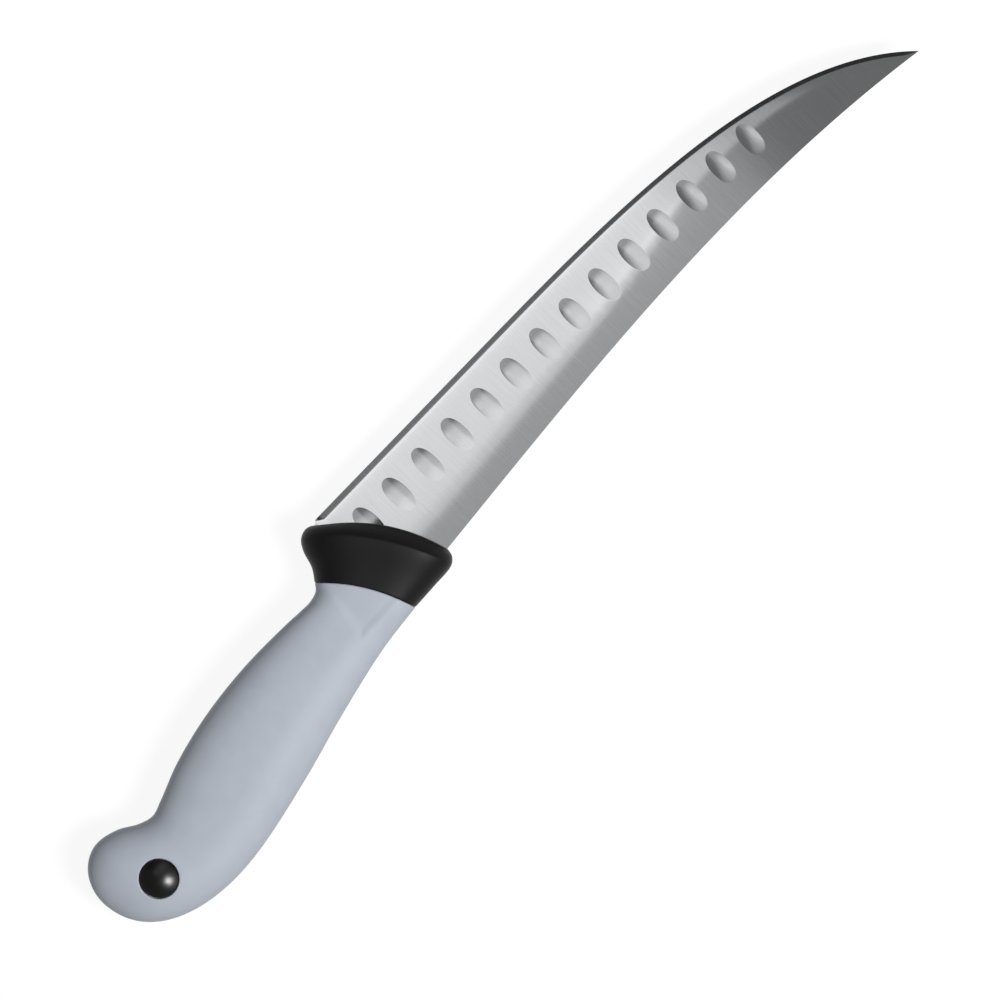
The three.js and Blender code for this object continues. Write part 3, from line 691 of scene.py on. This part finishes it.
# %% Guard piece
HORN_LINE = [[-14.4, 15], [-16.1, 16.5], [-18.4, 16.9], [-21.1, 15.6],
             [-23.1, 12.4], [-24.6, 7.8], [-27.2, 4.05]]
HEEL_LINE = [[7.2, -17.6], [6.4, -20], [3.6, -21.7], [-3, -22.05], [-11.7, -22.4]]
JOINT_BOW = 2.1
GUARD_THICKNESS, NOSE_THICKNESS, JOINT_THICKNESS = 25.6, 15.0, 22.4
NOSE_SHARE, NOSE_ROUNDING, GUARD_FULLNESS = 0.42, 1.18, 3.2
JOINT_ROUND, ROUND_FROM = 0.25, 0.97
FRONT_CROWDING = 1.6


def guard_thickness(u):
    """Rounded nose, then a gentle fall to the joint."""
    nose = mix(NOSE_THICKNESS, GUARD_THICKNESS, rounding(1 - np.minimum(u / NOSE_SHARE, 1), NOSE_ROUNDING))
    fall = mix(GUARD_THICKNESS, JOINT_THICKNESS, ease(share(u, NOSE_SHARE, 1)))
    return np.where(u < NOSE_SHARE, nose, fall)


def guard_rings(u, inset):
    """Upper half rings of the guard at shares u of the way from front to joint."""
    u, v = np.broadcast_arrays(u[:, None], across)
    finger, back = plan_line(u, HORN_LINE), plan_line(u, HEEL_LINE)
    bow = mix(FRONT_BOW, JOINT_BOW, u)
    inset = np.broadcast_to(inset[:, None], u.shape)
    return ring_points(finger, back, bow, guard_thickness(u), GUARD_FULLNESS, inset, v)


guard_u = np.concatenate([np.linspace(0, 1, 70) ** FRONT_CROWDING * ROUND_FROM, [0.98, 0.99, 1.0]])
guard_inset = JOINT_ROUND * (1 - rounding(share(guard_u, ROUND_FROM, 1), 2))
guard_upper = guard_rings(guard_u, guard_inset)
guard_sheets = [(guard_upper, 0)]
guard_sheets += mirrored(guard_sheets) + [(closing(guard_upper[0], 8), 0), (closing(guard_upper[-1], 8), 0)]
guard = make_piece("guard_slanted_collar", guard_sheets, [guard_plastic], sharp=40.0)
placed(guard, "guard_plastic", "guard")

# %% [markdown]
# ## Grip
#
# The grip's two sides are measured across an axis that droops from the guard to the butt. A subdivided block
# could be pushed into this form by hand; two lines and a thickness say it exactly, hook and all.

# %% Grip lines
AXIS_START, DROOP = np.array([-8.0, -2.5]), np.radians(9.5)
HANDLE_LENGTH, BUTT_HEIGHT = 131.4, 4.5
FINGER_LINE = [[0.013, 8.2], [0.045, 7.5], [0.085, 8.3], [0.128, 9.45], [0.286, 12.6], [0.444, 13.8],
               [0.593, 12.8], [0.698, 10.5], [0.739, 9.95], [0.777, 12], [0.821, 16.2], [0.889, 19]]
BACK_LINE = [[0.121, 18.2], [0.306, 19.2], [0.474, 21], [0.651, 21.9]]
THICKNESS_LINE = [[0.1, 21.2], [0.3, 23.6], [0.5, 24.4], [0.72, 22.8], [0.85, 24]]
GRIP_FULLNESS, BOW_SHARE = 2.7, 0.35
BUTT_POWERS = {"finger": 2.0, "back": 2.2, "thickness": 2.4}
REST_REAR = [[-26.1, 1.7], [-30.5, -18.2]]
REST_DEPTH, REST_EDGE, REST_MOST = 0.55, 3.2, 0.1
along_axis = np.array([-np.cos(DROOP), -np.sin(DROOP)])
across_axis = np.array([-np.sin(DROOP), np.cos(DROOP)])


def on_handle(along, height):
    """Plan place from lengths along the handle's axis and across it, towards the fingers."""
    return AXIS_START + np.multiply.outer(along, along_axis) + np.multiply.outer(height, across_axis)


joint_finger = (np.array(HORN_LINE[-1]) - AXIS_START) @ np.stack([along_axis, across_axis], axis=1)
joint_back = (np.array(HEEL_LINE[-1]) - AXIS_START) @ np.stack([along_axis, across_axis], axis=1)


def grip_side(w, joint, line, sign, power):
    """One side of the grip: its height line, then a superellipse corner down to the end of the butt."""
    pairs = [[0, sign * joint[1]], *line]
    round_from, round_height = line[-1]
    height = sign * level_line(np.minimum(w, round_from), pairs)
    corner = mix(BUTT_HEIGHT, sign * round_height, rounding(share(w, round_from, 1), power))
    return on_handle(mix(joint[0], HANDLE_LENGTH, w), np.where(w <= round_from, height, corner))


def grip_thickness(w):
    """Thickness line, then a superellipse corner at the butt."""
    round_from, thick = THICKNESS_LINE[-1]
    line = level_line(np.minimum(w, round_from), [[0, JOINT_THICKNESS], *THICKNESS_LINE])
    corner = thick * rounding(share(w, round_from, 1), BUTT_POWERS["thickness"])
    return np.where(w <= round_from, line, corner)


def thumb_rest(plan):
    """How far the faint flat behind the guard lies below the grip's round: it has a slanted rear border and
    one along the back, and sinks in from both over a soft edge."""
    rear, corner = np.array(REST_REAR)
    along = (corner - rear) / np.linalg.norm(corner - rear)
    from_rear = (plan - rear) @ np.array([-along[1], along[0]])
    inside = np.minimum(from_rear, plan[..., 1] - corner[1])
    return REST_DEPTH * ease(share(inside, 0, REST_EDGE))


def grip_points(w, v, inset=0.0):
    """Upper half of the grip at shares w of its length and v across it."""
    finger = grip_side(w, joint_finger, FINGER_LINE, 1, BUTT_POWERS["finger"])
    back = grip_side(w, joint_back, BACK_LINE, -1, BUTT_POWERS["back"])
    fade = ease(share(w, 0, BOW_SHARE))
    fullness = mix(GUARD_FULLNESS, GRIP_FULLNESS, fade)
    bow = JOINT_BOW * (1 - fade)
    points = ring_points(finger, back, bow, grip_thickness(w), fullness, inset + 0 * w, v)
    points[..., 2] -= np.minimum(thumb_rest(points[..., :2]), REST_MOST * points[..., 2])
    return points


print("grip thickest, mm:", round(float(grip_thickness(np.linspace(0, 1, 400)).max()), 2))

# %% [markdown]
# ### Rivet window
#
# A round window on each side lets the rivet's head through. Its rim has to be a clean circle on a curved
# surface, so the grid leaves out a block there, and rings run from the block's border to the circle. A few
# Newton steps find the shares w and v of each point of the circle.

# %% Rivet window
RIVET_FROM_BUTT, RIVET_HEIGHT = 16.2, -2.2
RIVET_HEAD_RADIUS, CLEARANCE = 5.65, 0.3
WINDOW_RADIUS, WINDOW_ROUND = RIVET_HEAD_RADIUS + CLEARANCE, 0.4
GUESS_W, GUESS_V = 0.87, 0.0
rivet_at = on_handle(HANDLE_LENGTH - RIVET_FROM_BUTT, RIVET_HEIGHT)


def find_shares(target, w, v):
    """Shares w, v of the grip's points above plan places, by Newton's method on both at once."""
    nudge = 1e-5
    for _ in range(12):
        here = grip_points(w, v)[..., :2]
        along = (grip_points(w + nudge, v)[..., :2] - here) / nudge
        over = (grip_points(w, v + nudge)[..., :2] - here) / nudge
        miss = target - here
        area = along[..., 0] * over[..., 1] - along[..., 1] * over[..., 0]
        w = w + (miss[..., 0] * over[..., 1] - miss[..., 1] * over[..., 0]) / area
        v = v + (along[..., 0] * miss[..., 1] - along[..., 1] * miss[..., 0]) / area
    return w, v


rivet_w, rivet_v = find_shares(rivet_at, np.array(GUESS_W), np.array(GUESS_V))
rivet_surface = float(grip_points(rivet_w, rivet_v)[2])
print("rivet at shares", np.round([rivet_w, rivet_v], 3), "surface at", round(rivet_surface, 2), "mm")

# %% [markdown]
# The grip's stations crowd at the joint, where its edge is rounded, and at the butt, where the rings shrink
# to a point. The block around the window is left out of the grid and filled by rings. A wall and a floor
# close the window under the rivet's head.

# %% Grip piece
JOINT_STATIONS, JOINT_SHARE, BODY_FROM = [0, 0.0015, 0.003], 0.004, 0.006
BUTT_FROM = FINGER_LINE[-1][0]
BLOCK_REACH, BLOCK_SHARE, WINDOW_DEPTH = 1.45, 0.46, 3.0

grip_w = np.concatenate([
    JOINT_STATIONS,
    np.linspace(BODY_FROM, BUTT_FROM, 190)[:-1],
    BUTT_FROM + (1 - BUTT_FROM) * np.sin(np.linspace(0, np.pi / 2, 46)),
])
grip_inset = JOINT_ROUND * (1 - rounding(1 - share(grip_w, 0, JOINT_SHARE), 2))
w_grid, v_grid = np.meshgrid(grip_w, across, indexing="ij")
grip_upper = grip_points(w_grid, v_grid, np.broadcast_to(grip_inset[:, None], w_grid.shape))

reach_w = BLOCK_REACH * WINDOW_RADIUS / (HANDLE_LENGTH - joint_finger[0])
low_w, high_w = np.searchsorted(grip_w, [rivet_w - reach_w, rivet_w + reach_w])
low_v, high_v = np.searchsorted(-across, [-rivet_v - BLOCK_SHARE, -rivet_v + BLOCK_SHARE])
loop_w = np.concatenate([grip_w[low_w:high_w], np.full(high_v - low_v, grip_w[high_w]),
                         grip_w[high_w:low_w:-1], np.full(high_v - low_v + 1, grip_w[low_w])])
loop_v = np.concatenate([np.full(high_w - low_w, across[low_v]), across[low_v:high_v],
                         np.full(high_w - low_w, across[high_v]), across[low_v:high_v + 1][::-1]])
outward = grip_points(loop_w, loop_v)[:, :2] - rivet_at
outward /= np.linalg.norm(outward, axis=1, keepdims=True)
rim_plan = rivet_at + (WINDOW_RADIUS + WINDOW_ROUND) * outward
rim_w, rim_v = find_shares(rim_plan, rivet_w + 0 * loop_w, rivet_v + 0 * loop_v)
parts = np.array([0, 0.04, 0.12, 0.25, 0.42, 0.6, 0.8, 1.0])[:, None]
around = grip_points(mix(rim_w, loop_w, parts), mix(rim_v, loop_v, parts))

turn = np.linspace(0, np.pi / 2, 6)[:, None]
radius = WINDOW_RADIUS + WINDOW_ROUND * (1 - np.sin(turn))
rim_z = around[0, :, 2] - WINDOW_ROUND * (1 - np.cos(turn))
wall_radius = np.concatenate([radius, [[WINDOW_RADIUS], [0.0]]])
wall_z = np.concatenate([rim_z, np.full((2, len(loop_w)), rivet_surface - WINDOW_DEPTH)])
wall_plan = rivet_at + wall_radius[..., None] * outward
window = np.concatenate([wall_plan, wall_z[..., None]], axis=-1)

grip_sheets = [
    (grip_upper[:low_w + 1], 0),
    (grip_upper[high_w:], 0),
    (grip_upper[low_w:high_w + 1, :low_v + 1], 0),
    (grip_upper[low_w:high_w + 1, high_v:], 0),
    (around, 0),
    (window, 0),
]
grip_sheets += mirrored(grip_sheets) + [(closing(grip_upper[0], 6), 0)]
grip = make_piece("grip_soft_cover", grip_sheets, [soft_cover], sharp=40.0)
placed(grip, "grip_soft", "grip")

# %% [markdown]
# ## Rivet
#
# A two-part rivet holds cover, core and tang together: a male half with a solid shank and a female half with
# a sleeve. Both are turned parts, so each is a profile carried round an axis.

# %% Rivet pieces
DOME, RIM_SINK, HEAD_SINK, RIM_BEVEL = 1.5, 0.9, 3.5, 0.25
SHANK_RADIUS, SLEEVE_RADIUS, SHANK_REACH = 2.3, 3.4, 5.0
head_under = rivet_surface - HEAD_SINK
rim = rivet_surface - RIM_SINK

dome_out = np.cos(np.linspace(0, np.pi / 2, 22))
dome = np.stack([dome_out * RIVET_HEAD_RADIUS, rim + DOME * (1 - dome_out ** 2)], axis=-1)
head = np.concatenate([[[RIVET_HEAD_RADIUS, head_under], [RIVET_HEAD_RADIUS, rim - RIM_BEVEL]], dome])
male = np.concatenate([[[0, -SHANK_REACH], [SHANK_RADIUS, -SHANK_REACH], [SHANK_RADIUS, head_under]], head])
bore, bore_end, mouth = SHANK_RADIUS + CLEARANCE, SHANK_REACH + CLEARANCE, -head_under + CLEARANCE
female = np.concatenate([[[0, bore_end], [bore, bore_end], [bore, mouth], [SLEEVE_RADIUS, mouth],
                          [SLEEVE_RADIUS, head_under]], head])


def turned(profile, side):
    """A profile of radius and height carried round the rivet's axis."""
    angle = np.linspace(0, 2 * np.pi, 97)
    ring = np.stack([np.cos(angle), np.sin(angle)], axis=-1)
    plan = rivet_at + profile[:, None, :1] * ring
    height = np.broadcast_to(side * profile[:, None, 1:], (len(profile), len(angle), 1))
    return np.concatenate([plan, height], axis=-1)


for name, profile, side, node in (("rivet_head_and_shank", male, 1, "rivet_male"),
                                  ("rivet_head_and_sleeve", female, -1, "rivet_female")):
    rivet = make_piece(name, [(turned(profile, side), 0)], [rivet_black], sharp=35.0)
    placed(rivet, "rivet_gloss", node)

# %% [markdown]
# ## Core
#
# The core is hidden under the cover, and its solid is right as it is, so it only gets its finish.

# %% Core finish
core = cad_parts["core"]
core.data.materials.clear()
core.data.materials.append(core_plastic)
print("core keeps its solid:", len(core.data.polygons), "faces")

# %% [markdown]
# ## Floor, light and camera
#
# The knife lies on a pale floor. Seen by the camera, or mirrored in the steel, the floor is mostly its own
# white, and what is left of it takes the soft shadow.


# %% Floor
FLOOR_HALF, FLOOR_GLOW, GLOW_LEVEL = 20.0, 0.8, 1.14


def seen_share(tree):
    """1 for rays that end in the picture, straight, mirrored or through something clear; 0 for the rest."""
    rays = add_node(tree, "ShaderNodeLightPath").outputs
    seen = rays["Is Camera Ray"]
    for kind in ("Is Glossy Ray", "Is Transmission Ray"):
        seen = add_node(tree, "ShaderNodeMath", {0: seen, 1: rays[kind]}, operation="MAXIMUM").outputs[0]
    return seen


floor_mesh = bpy.data.meshes.new("floor")
floor_corners = FLOOR_HALF * np.array([[-1, -1, 0], [1, -1, 0], [1, 1, 0], [-1, 1, 0]])
floor_mesh.from_pydata((floor_corners + [0, 0, cad_low.z]).tolist(), [], [(0, 1, 2, 3)])
floor = bpy.data.objects.new("floor", floor_mesh)
bpy.context.scene.collection.objects.link(floor)

floor_paper, tree, shader = new_finish("white_paper")
set_inputs(tree, shader, {"Base Color": linear("#b8b8b8"), "Roughness": 0.9, "Specular IOR Level": 0.0})
part = add_node(tree, "ShaderNodeMath", {0: seen_share(tree), 1: FLOOR_GLOW}, operation="MULTIPLY")
glow = add_node(tree, "ShaderNodeEmission", {"Color": (1, 1, 1, 1), "Strength": GLOW_LEVEL})
both = add_node(tree, "ShaderNodeMixShader", {0: part.outputs[0], 1: shader.outputs[0], 2: glow.outputs[0]})
tree.links.new(both.outputs[0], tree.nodes["Material Output"].inputs["Surface"])
floor_mesh.materials.append(floor_paper)

# %% [markdown]
# The studio is dim, and darker still towards the top of the picture. Its backdrop is white at the horizon
# and falls away upwards. Only the camera and mirrored rays see the backdrop, so it casts no light of its own.

# %% World
TURN = np.radians(45.94)
PICTURE_UP = (float(np.sin(TURN)), float(np.cos(TURN)), 0.0)
STUDIO_GREY, DUSK_GREY, DUSK_FROM, DUSK_FULL = 0.195, 0.03, 0.3, 0.5
BACKDROP_WHITE, BACKDROP_TOP = 0.08, 0.65
world = bpy.data.worlds.new("studio")
bpy.context.scene.world = world
world.use_nodes = True
tree = world.node_tree
direction = add_node(tree, "ShaderNodeTexCoord").outputs["Generated"]
upward = add_node(tree, "ShaderNodeSeparateXYZ", {0: direction}).outputs["Z"]
fall = add_node(tree, "ShaderNodeMapRange", {
    "Value": upward, "From Min": BACKDROP_WHITE, "From Max": BACKDROP_TOP, "To Min": 1.0, "To Max": 0.0,
}, interpolation_type="SMOOTHSTEP")
backdrop = add_node(tree, "ShaderNodeMath", {0: seen_share(tree), 1: fall.outputs[0]}, operation="MULTIPLY")
ahead = add_node(tree, "ShaderNodeVectorMath", {0: direction, 1: PICTURE_UP}, operation="DOT_PRODUCT")
dusk = add_node(tree, "ShaderNodeMapRange", {
    "Value": ahead.outputs["Value"], "From Min": DUSK_FROM, "From Max": DUSK_FULL,
    "To Min": STUDIO_GREY, "To Max": DUSK_GREY,
}, interpolation_type="SMOOTHSTEP")
level = add_node(tree, "ShaderNodeMix", {
    "Factor": backdrop.outputs[0], "A": dusk.outputs["Result"], "B": 1.0,
})
tree.links.new(level.outputs["Result"], tree.nodes["Background"].inputs["Strength"])
tree.nodes["Background"].inputs["Color"].default_value = (1, 1, 1, 1)

# %% [markdown]
# A soft key lamp stands high on the spine side and shades the grip. Level panels close above the knife are
# there for the steel to mirror: a wide, weak scrim that ends short of the tip, so the steel darkens there,
# and a brighter window on the edge side, whose lower border falls across the scallops. Overlapping panels
# hang at different heights, because a mirrored ray would otherwise meet only one of them.


# %% Lamps
def area_lamp(name, place, aim, size, radiance):
    """A rectangular lamp at place that looks at aim; its power gives that radiance over its area."""
    data = bpy.data.lights.new(name, "AREA")
    data.shape = "RECTANGLE"
    data.size, data.size_y = size
    data.energy = radiance * np.pi * size[0] * size[1]
    lamp = bpy.data.objects.new(name, data)
    bpy.context.scene.collection.objects.link(lamp)
    lamp.location = place
    lamp.rotation_euler = (Vector(aim) - Vector(place)).to_track_quat("-Z", "Y").to_euler()
    lamp.visible_camera = False


KEY_DISTANCE, KEY_TILT, KEY_SIZE, KEY_RADIANCE = 2.0, np.radians(28), 0.5, 50.0
KEY_SIDE = np.array([0.295, -0.953])
key_place = (*(KEY_DISTANCE * np.sin(KEY_TILT) * KEY_SIDE), KEY_DISTANCE * np.cos(KEY_TILT))
area_lamp("key", key_place, (0, 0, 0), (KEY_SIZE, KEY_SIZE), KEY_RADIANCE)
WINDOW_LEFT, WINDOW_RIGHT, WINDOW_END, WINDOW_TOP = -130, 143, 200, 120


def panel(name, height, corners, radiance):
    """A level panel above the knife between two opposite corners, in drawing millimetres."""
    low, high = drawing_zero[:2] + MM * np.array(corners)
    middle = (low + high) / 2
    area_lamp(name, (*middle, height), (*middle, 0), (high - low).tolist(), radiance)


panel("scrim", 0.32, [[-20, -212], [172, 214]], 0.27)
panel("window", 0.3, [[WINDOW_LEFT, 5], [WINDOW_RIGHT, WINDOW_TOP]], 0.38)
panel("window_middle", 0.29, [[WINDOW_LEFT, 18], [WINDOW_RIGHT, WINDOW_TOP]], 0.2)
panel("window_top", 0.28, [[WINDOW_LEFT, 48], [WINDOW_RIGHT, WINDOW_TOP]], 0.27)
panel("window_end", 0.3, [[WINDOW_RIGHT, 17], [WINDOW_END, WINDOW_TOP]], 0.32)
panel("window_corner", 0.27, [[90, 14], [WINDOW_RIGHT, 28]], 0.2)

# %% [markdown]
# The camera looks straight down, turned so that the knife lies as in the photograph, through a long lens.

# %% Camera
VIEW_WIDTH = 0.2952
VIEW_MIDDLE = np.array([28.33, -18.33, 0.0])
CAMERA_DISTANCE = 2.2
camera_data = bpy.data.cameras.new("camera")
camera_data.sensor_width = 36.0
camera_data.lens = camera_data.sensor_width * CAMERA_DISTANCE / VIEW_WIDTH
camera = bpy.data.objects.new("camera", camera_data)
bpy.context.scene.collection.objects.link(camera)
camera.location = drawing_zero + MM * VIEW_MIDDLE + [0, 0, CAMERA_DISTANCE]
camera.rotation_euler = (0, 0, -TURN)
bpy.context.scene.camera = camera
bpy.context.scene.view_settings.view_transform = "Standard"
print("lens", round(camera_data.lens), "mm")
